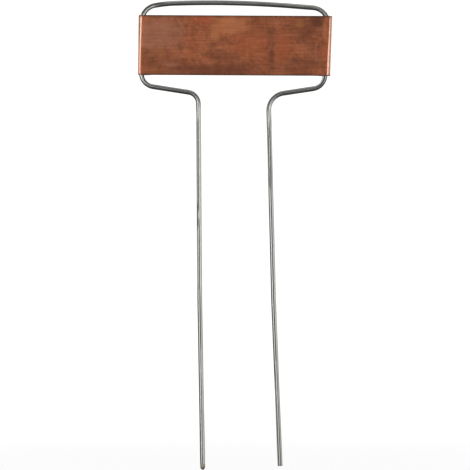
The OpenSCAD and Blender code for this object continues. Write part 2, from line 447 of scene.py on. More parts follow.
def grid_faces(rows, columns, wrap, flip=False):
    """Quads of a grid of points stored row by row."""
    faces = []
    for r in range(rows - 1):
        for c in range(columns if wrap else columns - 1):
            d = (c + 1) % columns
            quad = (r * columns + c, r * columns + d, (r + 1) * columns + d, (r + 1) * columns + c)
            faces.append(quad[::-1] if flip else quad)
    return faces


# Hand bent wire is never quite round or straight: shares of its radius, and lengths
OUT_OF_ROUND = 0.008
ROUND_RUN = 14 * MM
DENT = 0.05
DENT_RUN = 1.5 * MM
DENTS_ROUND = 2
BEND_THINNING = 0.03
SWAY = 0.05 * MM
SWAY_RUN = 26 * MM
SWAY_STEADY = 12 * MM
SWAY_FADE = 30 * MM
SWAY_END = 160 * MM
SWAY_SEED = 3.7

# The wedge that a side cutter leaves on the left tip, its edge along Y: how far up it, as a
# share of its length, and its width and depth there, as shares of the wire's
WEDGE = (
    (0.0, 0.4, 0.6),
    (0.08, 0.5, 0.8),
    (0.25, 0.66, 0.93),
    (0.5, 0.87, 1.0),
    (0.7, 0.98, 1.0),
)

# The plain shear cut of the right tip with its turned edge: distance from the end, and share
# of the wire's radius
SHEAR_CUT = 0.2 * MM
SHEAR = ((SHEAR_CUT, 1.0), (0.08 * MM, 0.985), (0.0, 0.88))


def make_wire(wire, plate, material):
    """The bent wire as a tube, with its two cut ends."""
    stations = wire_stations(wire, plate)
    length = stations[-1][2]
    radius = wire.wire_d / 2
    points, flat, bend, cut = [], [], [], []

    def ring(centre, angle, along, sharp, wide=1.0, deep=1.0, ended=0.0):
        normal = direction(angle + math.pi / 2)
        for k in range(wire.sides):
            phi = 2 * math.pi * k / wire.sides
            out, up = math.cos(phi), math.sin(phi)
            rough = 1 + OUT_OF_ROUND * noise.noise(Vector((out, up, along / ROUND_RUN)))
            dents = Vector((out * DENTS_ROUND, up * DENTS_ROUND, along / DENT_RUN))
            dent = DENT * sharp * abs(noise.noise(dents))
            across = radius * (rough - dent) * wide * (1 - BEND_THINNING * sharp) * out
            depth = radius * (rough - dent) * deep * up
            points.append((centre[0] + normal[0] * across, depth, centre[1] + normal[1] * across))
            flat.append((radius * out, radius * up, along))
            bend.append(sharp)
            cut.append(ended)

    def sway(along):
        """How far a leg strays from its line."""
        from_tip = min(along, length - along)
        weight = smooth(0, SWAY_STEADY, from_tip)
        weight *= 1 - smooth(SWAY_END - SWAY_FADE, SWAY_END, from_tip)
        return SWAY * weight * noise.noise(Vector((SWAY_SEED, 0, along / SWAY_RUN)))

    tip, angle = stations[0][:2]
    for share, wide, deep in WEDGE:
        along = share * wire.nib_len
        ring(tip + direction(angle) * along, angle, along, 0, wide, deep, 1 - share)
    for point, angle, along, sharp in stations:
        if wire.nib_len <= along < length - SHEAR_CUT:
            centre = point + direction(angle + math.pi / 2) * sway(along)
            ring(centre, angle, along, sharp)
    tip, angle = stations[-1][:2]
    for back, share in SHEAR:
        ended = 1 - back / SHEAR_CUT
        ring(tip - direction(angle) * back, angle, length - back, 0, share, share, ended)
    rows = len(points) // wire.sides
    faces = grid_faces(rows, wire.sides, True)
    faces.append(tuple(range(wire.sides))[::-1])
    faces.append(tuple(range((rows - 1) * wire.sides, rows * wire.sides)))
    values = {"wire_flat": flat, "bend": bend, "cut": cut}
    return mesh_piece("wire_stake_drawn", points, faces, values, material)


# Room that keeps the lip's skin off the back of the face, and how much the tuck's bend takes of the
# folds' brightening, stretched metal with painted highlight
LIP_ROOM = 0.015 * MM
TUCK_BEND = 0.25

# How many points run across the lip, the tuck, the flap and the fold
LIP_POINTS = 4
TUCK_POINTS = 11
FLAP_POINTS = 5
FOLD_POINTS = 19

# The folds were pressed by hand, tight at one end and looser at the other: how wide each is
# there, and between which shares of the plate's height that changes
LEFT_FOLD_LOW = 1.2 * MM
LEFT_FOLD_HIGH = 1.6 * MM
LEFT_FOLD_OPENS = (0.35, 1)
RIGHT_FOLD_LOW = 1.7 * MM
RIGHT_FOLD_HIGH = 1.3 * MM
RIGHT_FOLD_CLOSES = (0.1, 0.9)
FOLD_UNEVEN = 0.07 * MM
FOLD_RUN = 4 * MM
FOLD_SEED = 7.1
CORNER_PINCH = 0.14 * MM
CORNER_SHARE = 0.05

# The face waves inwards from the folds, and is pressed flat beside them
DISH_RUN_X = 17 * MM
DISH_RUN_Z = 13 * MM
DISH_SEED = 2.3
DISH_START = 2 * MM
DISH_FULL = 9 * MM
PRESS = 0.5
PRESS_W = 1.1 * MM

# Rows of points up the sheet: at its rounded edges, as shares of their rounding, and between
RIM_ROWS = (0, 0.12, 0.45, 1)
FIRST_ROW = 2.5
FACE_ROWS = 27
FACE_COLUMNS = 76

# The shear rolls the face over a little at its long edges
ROLL = 0.03 * MM
ROLL_W = 0.5 * MM
# Up to this distance from the long edges the sheet is dark in full, fading out by ROLL_W: the dark
# cut edge, with painted shade on the rolled-over face
DARK_RIM = 0.1 * MM
THINNEST_EDGE = 0.25
THIN_LIP = 0.6


def fold_section(plate, depth, wide, x_out, turn):
    """Half of the sheet's section, from the lip to the front of the fold.

    turn is 1 for the left fold and -1 for the right. Each entry is x, y and how much the
    metal is bent there."""
    inner = depth - plate.sheet_t / 2
    lip_y = -inner + plate.sheet_t / 2 + LIP_ROOM
    tuck_run = 2 * inner / math.tan(plate.tuck_angle)
    tuck_start = x_out + turn * (depth + plate.pocket_w)
    lip_start = tuck_start + turn * tuck_run
    flat_end = x_out + turn * wide
    quarter = math.pi / 2
    out = []
    for t in spread(plate.lip_w, 0, LIP_POINTS)[:-1]:
        out.append((lip_start + turn * t, lip_y, 0.0))
    for t in spread(0, 1, TUCK_POINTS)[:-1]:
        y = lip_y + (depth - lip_y) * smooth(0, 1, t)
        out.append((lip_start - turn * tuck_run * t, y, TUCK_BEND * math.sin(math.pi * t)))
    for t in spread(0, 1, FLAP_POINTS)[:-1]:
        out.append((tuck_start + (flat_end - tuck_start) * t, depth, 0.0))
    for t in spread(quarter, -quarter, FOLD_POINTS):
        bent = max(0.0, math.cos(t)) ** 0.5
        out.append((flat_end - turn * wide * math.cos(t), depth * math.sin(t), bent))
    return out


def sheet_section(plate, depth, v):
    """The sheet's whole section at the height v, from lip to lip: x, y and how much it is bent."""
    half_w = plate.width / 2 - plate.sheet_t / 2
    t = v / plate.height + 0.5
    pinch = CORNER_PINCH * (1 - smooth(0, CORNER_SHARE, t))
    left = -half_w + v * math.tan(plate.lean_left) + pinch
    right = half_w + v * math.tan(plate.lean_right)
    uneven = FOLD_UNEVEN * noise.noise(Vector((v / FOLD_RUN, FOLD_SEED, 0)))
    opened = (LEFT_FOLD_HIGH - LEFT_FOLD_LOW) * smooth(*LEFT_FOLD_OPENS, t)
    closed = (RIGHT_FOLD_HIGH - RIGHT_FOLD_LOW) * smooth(*RIGHT_FOLD_CLOSES, t)
    wide_left = LEFT_FOLD_LOW + uneven + opened
    wide_right = RIGHT_FOLD_LOW + uneven + closed
    left_half = fold_section(plate, depth, wide_left, left, 1)
    right_half = fold_section(plate, depth, wide_right, right, -1)
    start, end = left_half[-1][0], right_half[-1][0]
    face = []
    for x in spread(start, end, FACE_COLUMNS)[1:-1]:
        gap = min(x - start, end - x)
        wave = 0.5 + 0.5 * noise.noise(Vector((x / DISH_RUN_X, DISH_SEED, v / DISH_RUN_Z)))
        wave *= smooth(DISH_START, DISH_FULL, gap)
        press = -PRESS * (1 - smooth(0, PRESS_W, gap))
        face.append((x, -depth + plate.dish * wave, press))
    return left_half + face + right_half[::-1]


def skin_faces(rows, width):
    """Quads of the sheet's two skins, and of its four edges."""
    half = rows * width
    faces = grid_faces(rows, width, False)
    faces += [tuple(half + i for i in quad) for quad in grid_faces(rows, width, False, True)]
    for c in range(width - 1):
        faces.append((c + 1, c, half + c, half + c + 1))
        top = (rows - 1) * width + c
        faces.append((top, top + 1, half + top + 1, half + top))
    for r in range(rows - 1):
        left, right = r * width, r * width + width - 1
        faces.append((left, left + width, half + left + width, half + left))
        faces.append((right + width, right, half + right, half + right + width))
    return faces


def make_plate(wire, plate, material):
    """The copper sheet: a face, two folds round the wire and two flaps pressed to its back."""
    depth = wire.wire_d / 2 + plate.fold_clear + plate.sheet_t / 2
    half_h = plate.height / 2
    middle = Vector((0, 0, (PLATE_LOW[2] + PLATE_HIGH[2]) / 2))
    cos_tilt, sin_tilt = math.cos(plate.tilt), math.sin(plate.tilt)
    rim = plate.rim_r
    rows = [rim * share - half_h for share in RIM_ROWS]
    first = half_h - FIRST_ROW * rim
    rows = rows + spread(-first, first, FACE_ROWS) + [-v for v in rows[::-1]]
    outer, inner, flat, fold, rim_shade_mask = [], [], [], [], []
    for v in rows:
        line = sheet_section(plate, depth, v)
        edge = half_h - abs(v)
        round_off = 1 - min(edge / rim, 1)
        full = math.sqrt(max(0.0, 1 - round_off ** 2))
        thick = plate.sheet_t / 2 * max(full, THINNEST_EDGE)
        roll = ROLL * (1 - smooth(0, ROLL_W, edge))
        unrolled = [0.0]
        for here, ahead in zip(line, line[1:]):
            unrolled.append(unrolled[-1] + math.hypot(ahead[0] - here[0], ahead[1] - here[1]))
        mid = len(line) // 2
        offset = line[mid][0] - unrolled[mid]
        for i, (x, y, bent) in enumerate(line):
            before, after = line[max(i - 1, 0)], line[min(i + 1, len(line) - 1)]
            tangent = Vector((after[0] - before[0], after[1] - before[1])).normalized()
            normal = Vector((tangent[1], -tangent[0]))
            lip = 1.0 if 0 < i < len(line) - 1 else THIN_LIP
            for store, sign in ((outer, 1), (inner, -1)):
                px = x + normal[0] * (thick * sign * lip - roll)
                py = y + normal[1] * (thick * sign * lip - roll)
                turned = (px * cos_tilt + v * sin_tilt, py, -px * sin_tilt + v * cos_tilt)
                store.append(middle + Vector(turned))
            flat.append((unrolled[i] + offset, 0.0, v))
            fold.append(bent)
            rim_shade_mask.append(1 - smooth(DARK_RIM, ROLL_W, edge))
    faces = skin_faces(len(rows), len(line))
    back = [(x, 1.0, v) for x, _, v in flat]
    values = {"sheet_flat": flat + back, "fold": fold * 2, "rim": rim_shade_mask * 2}
    return mesh_piece("name_plate_sheet", outer + inner, faces, values, material)


def new_tree(name):
    """A material with an empty node tree."""
    material = bpy.data.materials.new(name)
    material.use_nodes = True
    material.node_tree.nodes.clear()
    return material, material.node_tree


def add(tree, kind, inputs=None, **settings):
    """A node with its settings, its inputs set to values or linked to sockets."""
    item = tree.nodes.new(kind)
    for key, value in settings.items():
        setattr(item, key, value)
    for key, value in (inputs or {}).items():
        socket = item.inputs[key]
        if isinstance(value, bpy.types.NodeSocket):
            tree.links.new(value, socket)
        else:
            socket.default_value = value
    return item


def math_node(tree, operation, a, b=0.0, clamp=False):
    inputs = {0: a, 1: b}
    return add(tree, "ShaderNodeMath", inputs, operation=operation, use_clamp=clamp).outputs[0]


def plus(tree, a, b, clamp=False):
    return math_node(tree, "ADD", a, b, clamp)


def minus(tree, a, b, clamp=False):
    return math_node(tree, "SUBTRACT", a, b, clamp)


def times(tree, a, b, clamp=False):
    return math_node(tree, "MULTIPLY", a, b, clamp)


def vector_node(tree, operation, a, b):
    return add(tree, "ShaderNodeVectorMath", {0: a, 1: b}, operation=operation).outputs[0]


def noise_node(tree, vector, scale, detail, roughness, distortion=0.0):
    """An uneven field over the surface, as its outputs."""
    return add(
        tree, "ShaderNodeTexNoise",
        {"Vector": vector, "Scale": scale, "Detail": detail, "Roughness": roughness,
         "Distortion": distortion}).outputs


def mix_colour(tree, share, a, b, blend="MIX"):
    item = add(
        tree, "ShaderNodeMix", {"Factor": share, "A": a, "B": b},
        data_type="RGBA", blend_type=blend)
    return item.outputs["Result"]


def remap(tree, value, low, high, to_low=0.0, to_high=1.0):
    """A value moved from one range to another with soft ends."""
    item = add(
        tree, "ShaderNodeMapRange",
        {"Value": value, "From Min": low, "From Max": high, "To Min": to_low, "To Max": to_high},
        interpolation_type="SMOOTHSTEP")
    return item.outputs["Result"]


def group(name, inputs, outputs):
    """An empty shader node group: each input as name, kind and default, each output a number."""
    tree = bpy.data.node_groups.new(name, "ShaderNodeTree")
    for label, kind, default in inputs:
        socket = tree.interface.new_socket(label, in_out="INPUT", socket_type="NodeSocket" + kind)
        if default is not None:
            socket.default_value = default
    for label in outputs:
        tree.interface.new_socket(label, in_out="OUTPUT", socket_type="NodeSocketFloat")
    return tree, tree.nodes.new("NodeGroupInput").outputs, tree.nodes.new("NodeGroupOutput").inputs


# Sockets that several effects share, and the value that a noise swings round
PLACE = ("Vector", "Vector", None)
STRETCH = ("Stretch", "Vector", (1.0, 1.0, 1.0))
MIDDLE = 0.5


def streaks_group():
    """Long fine lines that rolling or drawing leaves in metal."""
    tree, given, result = group(
        "Drawn Streaks",
        [PLACE, STRETCH, ("Contrast", "Float", 1.0)],
        ["Mask", "Height"])
    coarse_share, fine_share = 0.6, 0.4
    place = vector_node(tree, "MULTIPLY", given["Vector"], given["Stretch"])
    coarse = noise_node(tree, place, scale=1.0, detail=3.0, roughness=0.6)["Fac"]
    fine = noise_node(tree, place, scale=3.1, detail=2.0, roughness=0.7)["Fac"]
    both = plus(tree, times(tree, coarse, coarse_share), times(tree, fine, fine_share))
    scaled = times(tree, minus(tree, both, MIDDLE), given["Contrast"])
    tree.links.new(plus(tree, scaled, MIDDLE, clamp=True), result["Mask"])
    tree.links.new(both, result["Height"])
    return tree


def blotches_group():
    """Soft uneven patches of tarnish or dull metal."""
    tree, given, result = group(
        "Soft Blotches",
        [PLACE, ("Scale", "Float", 60.0), ("Warp", "Float", 0.6),
         ("Low", "Float", 0.35), ("High", "Float", 0.65)],
        ["Mask"])
    field = noise_node(
        tree, given["Vector"], given["Scale"], detail=4.0, roughness=0.55,
        distortion=given["Warp"])
    tree.links.new(remap(tree, field["Fac"], given["Low"], given["High"]), result["Mask"])
    return tree


def specks_group():
    """Small scattered dots, such as pits, dust and dried drops."""
    tree, given, result = group(
        "Scattered Specks",
        [PLACE, ("Scale", "Float", 400.0), ("Size", "Float", 0.16), ("Share", "Float", 0.2)],
        ["Mask"])
    sharpness = 14.0
    cells = add(
        tree, "ShaderNodeTexVoronoi",
        {"Vector": given["Vector"], "Scale": given["Scale"], "Randomness": 1.0})
    random = add(tree, "ShaderNodeSeparateColor", {"Color": cells.outputs["Color"]})
    kept = math_node(tree, "LESS_THAN", random.outputs["Red"], given["Share"])
    size = times(tree, random.outputs["Green"], given["Size"])
    dot = minus(tree, size, cells.outputs["Distance"])
    soft = times(tree, dot, sharpness, clamp=True)
    tree.links.new(times(tree, soft, kept), result["Mask"])
    return tree


def scratches_group():
    """Sparse fine scratches along one direction."""
    tree, given, result = group(
        "Fine Scratches",
        [PLACE, STRETCH, ("Least", "Float", 0.66)],
        ["Mask"])
    softness = 0.06
    place = vector_node(tree, "MULTIPLY", given["Vector"], given["Stretch"])
    field = noise_node(tree, place, scale=1.0, detail=2.0, roughness=0.5)
    most = plus(tree, given["Least"], softness)
    tree.links.new(remap(tree, field["Fac"], given["Least"], most), result["Mask"])
    return tree


def stain_group():
    """One soft oval patch, a stain, painted shade or a painted reflection, level or turned, whose
    edge wanders.
    """
    tree, given, result = group(
        "Soft Stain",
        [PLACE, ("Centre", "Vector", (0.0, 0.0, 0.0)),
         ("Half Width", "Float", 5 * MM), ("Half Height", "Float", 5 * MM),
         ("Drift", "Float", 8 * MM), ("Turn", "Float", 0.0)],
        ["Mask"])
    faded, full = 1.3, 0.4
    field = noise_node(tree, given["Vector"], scale=260.0, detail=5.0, roughness=0.62)
    centred = vector_node(tree, "SUBTRACT", field["Color"], (MIDDLE, MIDDLE, MIDDLE))
    drift = add(
        tree, "ShaderNodeVectorMath", {0: centred, "Scale": given["Drift"]}, operation="SCALE")
    moved = vector_node(tree, "ADD", given["Vector"], drift.outputs[0])
    turned = add(
        tree, "ShaderNodeVectorRotate",
        {"Vector": moved, "Center": given["Centre"], "Angle": given["Turn"],
         "Axis": (0.0, 1.0, 0.0)})
    offset = vector_node(tree, "SUBTRACT", turned.outputs[0], given["Centre"])
    parts = add(tree, "ShaderNodeSeparateXYZ", {"Vector": offset}).outputs
    across = math_node(tree, "DIVIDE", parts["X"], given["Half Width"])
    up = math_node(tree, "DIVIDE", parts["Z"], given["Half Height"])
    both = add(tree, "ShaderNodeCombineXYZ", {"X": across, "Y": up}).outputs[0]
    away = add(tree, "ShaderNodeVectorMath", {0: both}, operation="LENGTH").outputs["Value"]
    tree.links.new(remap(tree, away, faded, full), result["Mask"])
    return tree


def line_group():
    """One soft line along a wire, painted highlight, painted shade or a real mark, which fades at
    both ends and may drift across it.
    """
    tree, given, result = group(
        "Drawn Line",
        [("Along", "Float", 0.0), ("Across", "Float", 0.0),
         ("Start", "Float", 0.0), ("End", "Float", 10 * MM),
         ("Middle", "Float", 0.0), ("Half Width", "Float", 0.1 * MM), ("Drift", "Float", 0.0)],
        ["Mask"])
    soft, lead, run_in = 0.09 * MM, 2 * MM, 3 * MM
    share = add(
        tree, "ShaderNodeMapRange",
        {"Value": given["Along"], "From Min": given["Start"], "From Max": given["End"],
         "To Min": 0.0, "To Max": given["Drift"]}).outputs["Result"]
    middle = plus(tree, given["Middle"], share)
    away = math_node(tree, "ABSOLUTE", minus(tree, given["Across"], middle))
    half_w = given["Half Width"]
    near = remap(tree, away, plus(tree, half_w, soft), minus(tree, half_w, soft))
    start, end = given["Start"], given["End"]
    begun = remap(tree, given["Along"], minus(tree, start, lead), plus(tree, start, run_in))
    ended = remap(tree, given["Along"], plus(tree, end, lead), minus(tree, end, run_in))
    tree.links.new(times(tree, near, times(tree, begun, ended)), result["Mask"])
    return tree


def place_group(tree, kind, inputs):
    return add(tree, "ShaderNodeGroup", inputs, node_tree=kind).outputs


def effect(tree, kind, vector, **values):
    """A shared effect laid over the surface by a vector, with its own values."""
    return place_group(tree, kind, {"Vector": vector, **values})


def rgba(value):
    return (*value, 1.0)


def finish_surface(tree, base, metallic, rough, height, bump_strength, bump_distance):
    """The metal shader itself, with its bump, joined to the output."""
    bump = add(
        tree, "ShaderNodeBump",
        {"Strength": bump_strength, "Distance": bump_distance, "Height": height})
    shader = add(
        tree, "ShaderNodeBsdfPrincipled",
        {"Base Color": base, "Metallic": metallic, "Roughness": rough,
         "Normal": bump.outputs["Normal"]})
    out = tree.nodes.new("ShaderNodeOutputMaterial")
    tree.links.new(shader.outputs["BSDF"], out.inputs["Surface"])


# How much each mark counts in the wire's colour, metal, roughness and relief
WIRE_TONE = {"dull": 0.25, "scuff": 0.6, "pits": 0.4}
WIRE_METAL_LOST = {"rust": 0.95, "wiped_and_highlight": 0.6}
WIRE_ROUGH = {"plain": 0.27, "dull": 0.05, "rust": 0.4, "wiped_and_highlight": 0.2}
WIRE_RELIEF = {"marks": 0.8, "pits": 0.3, "cut": 0.2}

# Dull metal breaks the drawn lines up: between which of its values, and down to which share
BREAK_FROM, BREAK_TO, BREAK_LEAST = 0.9, 0.2, 0.75

# How far up from the cut tip the rust ends and is full, and the same for its darkest part
RUST_END, RUST_FULL = 3.2 * MM, 2.6 * MM
DARK_RUST_END, DARK_RUST_FULL = 2.0 * MM, 1.1 * MM
RUST_CREEP = 0.7 * MM


def zinc_material(colours, effects):
    """Dull galvanised wire: drawn streaks, painted highlight and shade lines, a pale flank, scuffed
    bends and a rusty cut tip.
    """
    material, tree = new_tree("galvanised_wire")
    run = add(tree, "ShaderNodeAttribute", attribute_name="wire_flat").outputs["Vector"]
    bend = add(tree, "ShaderNodeAttribute", attribute_name="bend").outputs["Fac"]
    cut = add(tree, "ShaderNodeAttribute", attribute_name="cut").outputs["Fac"]
    place = add(tree, "ShaderNodeSeparateXYZ", {"Vector": run}).outputs
    along, across = place["Z"], place["X"]
    streaks = effects["streaks"]
    lines = effect(tree, streaks, run, Stretch=(1700.0, 1700.0, 22.0), Contrast=2.6)
    dull = effect(tree, streaks, run, Stretch=(500.0, 500.0, 90.0), Contrast=2.0)["Mask"]
    marks = effect(tree, streaks, run, Stretch=(500.0, 500.0, 1600.0), Contrast=4.0)["Mask"]
    pits = effect(tree, effects["specks"], run, Scale=1500.0, Size=0.3, Share=0.12)["Mask"]
    tone = minus(tree, lines["Mask"], times(tree, dull, WIRE_TONE["dull"]), clamp=True)
    scuff = times(tree, times(tree, marks, bend), WIRE_TONE["scuff"])
    bright = plus(tree, tone, scuff, clamp=True)
    base = mix_colour(tree, bright, rgba(colours.zinc_dark), rgba(colours.zinc_light))
    pitted = times(tree, pits, WIRE_TONE["pits"])
    base = mix_colour(tree, pitted, base, rgba(colours.zinc_dark))
    wiped_and_highlight = 0.0
    broken = remap(tree, dull, BREAK_FROM, BREAK_TO, BREAK_LEAST, 1.0)
    # Painted highlights and painted shade along the wire, with a few real marks
    for line in LINES.values():
        drawn = place_group(tree, effects["line"], {
            "Along": along,
            "Across": across,
            "Start": line.start * MM,
            "End": line.end * MM,
            "Middle": line.across * MM,
            "Half Width": line.half_w * MM,
            "Drift": line.drift * MM,
        })
        mask = times(tree, times(tree, drawn["Mask"], broken), line.share)
        base = mix_colour(tree, mask, base, rgba(getattr(colours, line.finish)))
        # The pale lines, painted highlights and the left leg's own pale flank, are less metallic
        # and rougher
        if line.finish == "zinc_wiped":
            wiped_and_highlight = math_node(tree, "MAXIMUM", wiped_and_highlight, mask)
    # Rust creeps up from the cut tip and is darkest on the cut itself
    creep = effect(tree, effects["blotches"], run, Scale=1100.0, Warp=0.4, Low=0.3, High=0.7)
    edge = plus(tree, along, times(tree, creep["Mask"], RUST_CREEP))
    rust = remap(tree, edge, RUST_END, RUST_FULL)
    dark = remap(tree, edge, DARK_RUST_END, DARK_RUST_FULL)
    rusty = mix_colour(tree, dark, rgba(colours.rust), rgba(colours.rust_dark))
    base = mix_colour(tree, rust, base, rusty)
    metallic = minus(tree, 1.0, times(tree, rust, WIRE_METAL_LOST["rust"]))
    metallic = minus(tree, metallic, times(tree, wiped_and_highlight, WIRE_METAL_LOST["wiped_and_highlight"]), clamp=True)
    rough = plus(tree, times(tree, dull, WIRE_ROUGH["dull"]), WIRE_ROUGH["plain"])
    rough = plus(tree, rough, times(tree, rust, WIRE_ROUGH["rust"]), clamp=True)
    rough = plus(tree, rough, times(tree, wiped_and_highlight, WIRE_ROUGH["wiped_and_highlight"]), clamp=True)
    marked = times(tree, marks, times(tree, bend, WIRE_RELIEF["marks"]))
    height = plus(tree, lines["Height"], marked)
    height = minus(tree, height, times(tree, pits, WIRE_RELIEF["pits"]))
    height = plus(tree, height, times(tree, cut, WIRE_RELIEF["cut"]))
    finish_surface(tree, base, metallic, rough, height, bump_strength=0.5, bump_distance=0.05 * MM)
    return material


# How much each mark counts in the sheet's colour, relief and roughness
SHEET_TONE = {"mottle": 0.35, "grain": 0.35, "fine": 0.3}
SHEET_MARKS = {
    "redder": 0.35,
    "browner": 0.35,
    "aged": 0.55,
    "dots": 0.45,
    "scratches": 0.2,
    "pressed": 0.5,
    "bare_and_highlight": 0.9,
    "rim": 0.95,
}
SHEET_RELIEF = {"dots": 0.5, "scratches": 0.4}
SHEET_ROUGH = {"plain": 0.36, "fine": 0.1}

# The grain darkens and lightens the stains by this much, from this share of their tone
GRAIN_SWING, GRAIN_LEAST = 0.3, 0.85

# From which bend the metal reddens where it is pressed in, and from which the stretched metal on
# the folds is brightened, partly as a painted highlight
PRESSED_FROM, PRESSED_FULL = -0.05, -0.5
BARE_HIGHLIGHT_FROM, BARE_HIGHLIGHT_FULL = 0.05, 0.6


def copper_material(colours, effects):
    """Rolled copper sheet: grain and stains, stretched metal on the folds brightened as a painted
    highlight, painted shade and reflection at the folds, and dark sheared edges with painted shade
    beside them.
    """
    material, tree = new_tree("rolled_copper_sheet")
    flat = add(tree, "ShaderNodeAttribute", attribute_name="sheet_flat").outputs["Vector"]
    fold = add(tree, "ShaderNodeAttribute", attribute_name="fold").outputs["Fac"]
    rim = add(tree, "ShaderNodeAttribute", attribute_name="rim").outputs["Fac"]

    def blotches(**values):
        return effect(tree, effects["blotches"], flat, **values)["Mask"]

    def covered(base, mask, share, finish):
        """The colour below, with a finish over it where the mask says."""
        return mix_colour(tree, times(tree, mask, share), base, rgba(getattr(colours, finish)))

    def stained(base, patch):
        stain = place_group(tree, effects["stain"], {
            "Vector": flat,
            "Centre": (patch.x * MM, 0.0, patch.z * MM),
            "Half Width": patch.half_w * MM,
            "Half Height": patch.half_h * MM,
            "Drift": patch.drift * MM,
            "Turn": patch.turn,
        })
        return covered(base, times(tree, stain["Mask"], front), patch.share, patch.finish)

    grain = effect(
        tree, effects["streaks"], flat, Stretch=(60.0, 1.0, 1200.0), Contrast=2.5)
    dots = effect(
        tree, effects["specks"], flat, Scale=420.0, Size=0.2, Share=0.05)["Mask"]
    scratches = effect(
        tree, effects["scratches"], flat, Stretch=(60.0, 1.0, 2600.0), Least=0.68)["Mask"]
    mottle = blotches(Scale=170.0, Warp=0.1, Low=0.3, High=0.72)
    fine = blotches(Scale=600.0, Warp=0.0, Low=0.3, High=0.75)
    tone = times(tree, mottle, SHEET_TONE["mottle"])
    tone = plus(tree, tone, times(tree, grain["Mask"], SHEET_TONE["grain"]))
    tone = plus(tree, tone, times(tree, fine, SHEET_TONE["fine"]), clamp=True)
    base = mix_colour(tree, tone, rgba(colours.copper_dark), rgba(colours.copper_light))
    # Heat and handling turn the sheet redder here and browner there
    redder = blotches(Scale=130.0, Warp=0.2, Low=0.5, High=0.66)
    base = covered(base, redder, SHEET_MARKS["redder"], "copper_red")
    browner = blotches(Scale=95.0, Warp=0.5, Low=0.52, High=0.68)
    base = covered(base, browner, SHEET_MARKS["browner"], "film_dark")
    # The face's stains stop at the face: the sheet's other side has only broad, faint ones
    behind = add(tree, "ShaderNodeSeparateXYZ", {"Vector": flat}).outputs["Y"]
    front = minus(tree, 1.0, behind)
    # Stains, and a painted reflection beside the right fold
    for patch in PATCHES.values():
        base = stained(base, patch)
    # The rolled grain still shows through the stains
    ripple = plus(tree, times(tree, grain["Mask"], GRAIN_SWING), GRAIN_LEAST)
    base = mix_colour(tree, 1.0, base, ripple, "MULTIPLY")
    aged = times(tree, blotches(Scale=70.0, Warp=0.3, Low=0.4, High=0.7), behind)
    base = covered(base, aged, SHEET_MARKS["aged"], "film_dark")
    base = covered(base, dots, SHEET_MARKS["dots"], "copper_bare_and_highlight")
    base = covered(base, scratches, SHEET_MARKS["scratches"], "copper_bare_and_highlight")
    pressed = remap(tree, fold, PRESSED_FROM, PRESSED_FULL)
    base = covered(base, pressed, SHEET_MARKS["pressed"], "copper_red")
    # Painted highlight: the folds' stretched metal is brightened to stand in for the side lamps'
    # highlight on them
    bare_and_highlight = remap(tree, fold, BARE_HIGHLIGHT_FROM, BARE_HIGHLIGHT_FULL)
    base = covered(base, bare_and_highlight, SHEET_MARKS["bare_and_highlight"], "copper_bare_and_highlight")
    # Painted shade on the folds' outer sides
    for patch in FOLD_SHADE.values():
        base = stained(base, patch)
    # Dark sheared edges, with painted shade on the rolled-over face beside them
    base = covered(base, rim, SHEET_MARKS["rim"], "cut_edge_and_shade")
    rough = plus(tree, times(tree, fine, SHEET_ROUGH["fine"]), SHEET_ROUGH["plain"])
    height = plus(tree, grain["Height"], times(tree, dots, SHEET_RELIEF["dots"]))
    height = minus(tree, height, times(tree, scratches, SHEET_RELIEF["scratches"]))
    finish_surface(tree, base, 1.0, rough, height, bump_strength=0.25, bump_distance=0.03 * MM)
    return material


EFFECTS = {
    "streaks": ("Drawn Streaks", streaks_group),
    "blotches": ("Soft Blotches", blotches_group),
    "specks": ("Scattered Specks", specks_group),
    "scratches": ("Fine Scratches", scratches_group),
    "stain": ("Soft Stain", stain_group),
    "line": ("Drawn Line", line_group),
}


def effect_groups():
    """The shared effects, made once for both metals."""
    return {key: bpy.data.node_groups.get(name) or make() for key, (name, make) in EFFECTS.items()}


def aim(item, target):
    item.rotation_euler = (Vector(target) - item.location).to_track_quat("-Z", "Y").to_euler()


def lamp(name, place, target, size, power):
    """A rectangular soft lamp."""
    data = bpy.data.lights.new(name, "AREA")
    data.shape = "RECTANGLE"
    data.size, data.size_y = size
    data.energy = power
    item = bpy.data.objects.new(name, data)
    item.location = place
    aim(item, target)
    bpy.context.scene.collection.objects.link(item)


# The camera sees the paper white. Metal sees it as white from FULL_BEHIND metres behind the
# object, and in front of it up to the share FAINT, from FAINT_FROM to FAINT_TO metres
FULL_BEHIND = 1.0
FAINT_FROM, FAINT_TO, FAINT = -0.3, -1.0, 0.3

# Close to the object the paper is a little darker: NEAR_WHITE of white up to NEAR metres
# from its middle, and white from FAR metres on
NEAR, FAR, NEAR_WHITE = 0.1, 0.7, 0.8
PAPER_GREY = 0.205
WHITE = (1.0, 1.0, 1.0, 1.0)


def seen_white(tree, shown):
    """Where a ray sees the paper or room as white: the camera always, metal by what is shown."""
    rays = tree.nodes.new("ShaderNodeLightPath").outputs
    seen = plus(tree, rays["Is Camera Ray"], rays["Is Transmission Ray"], clamp=True)
    return plus(tree, seen, times(tree, rays["Is Glossy Ray"], shown), clamp=True)


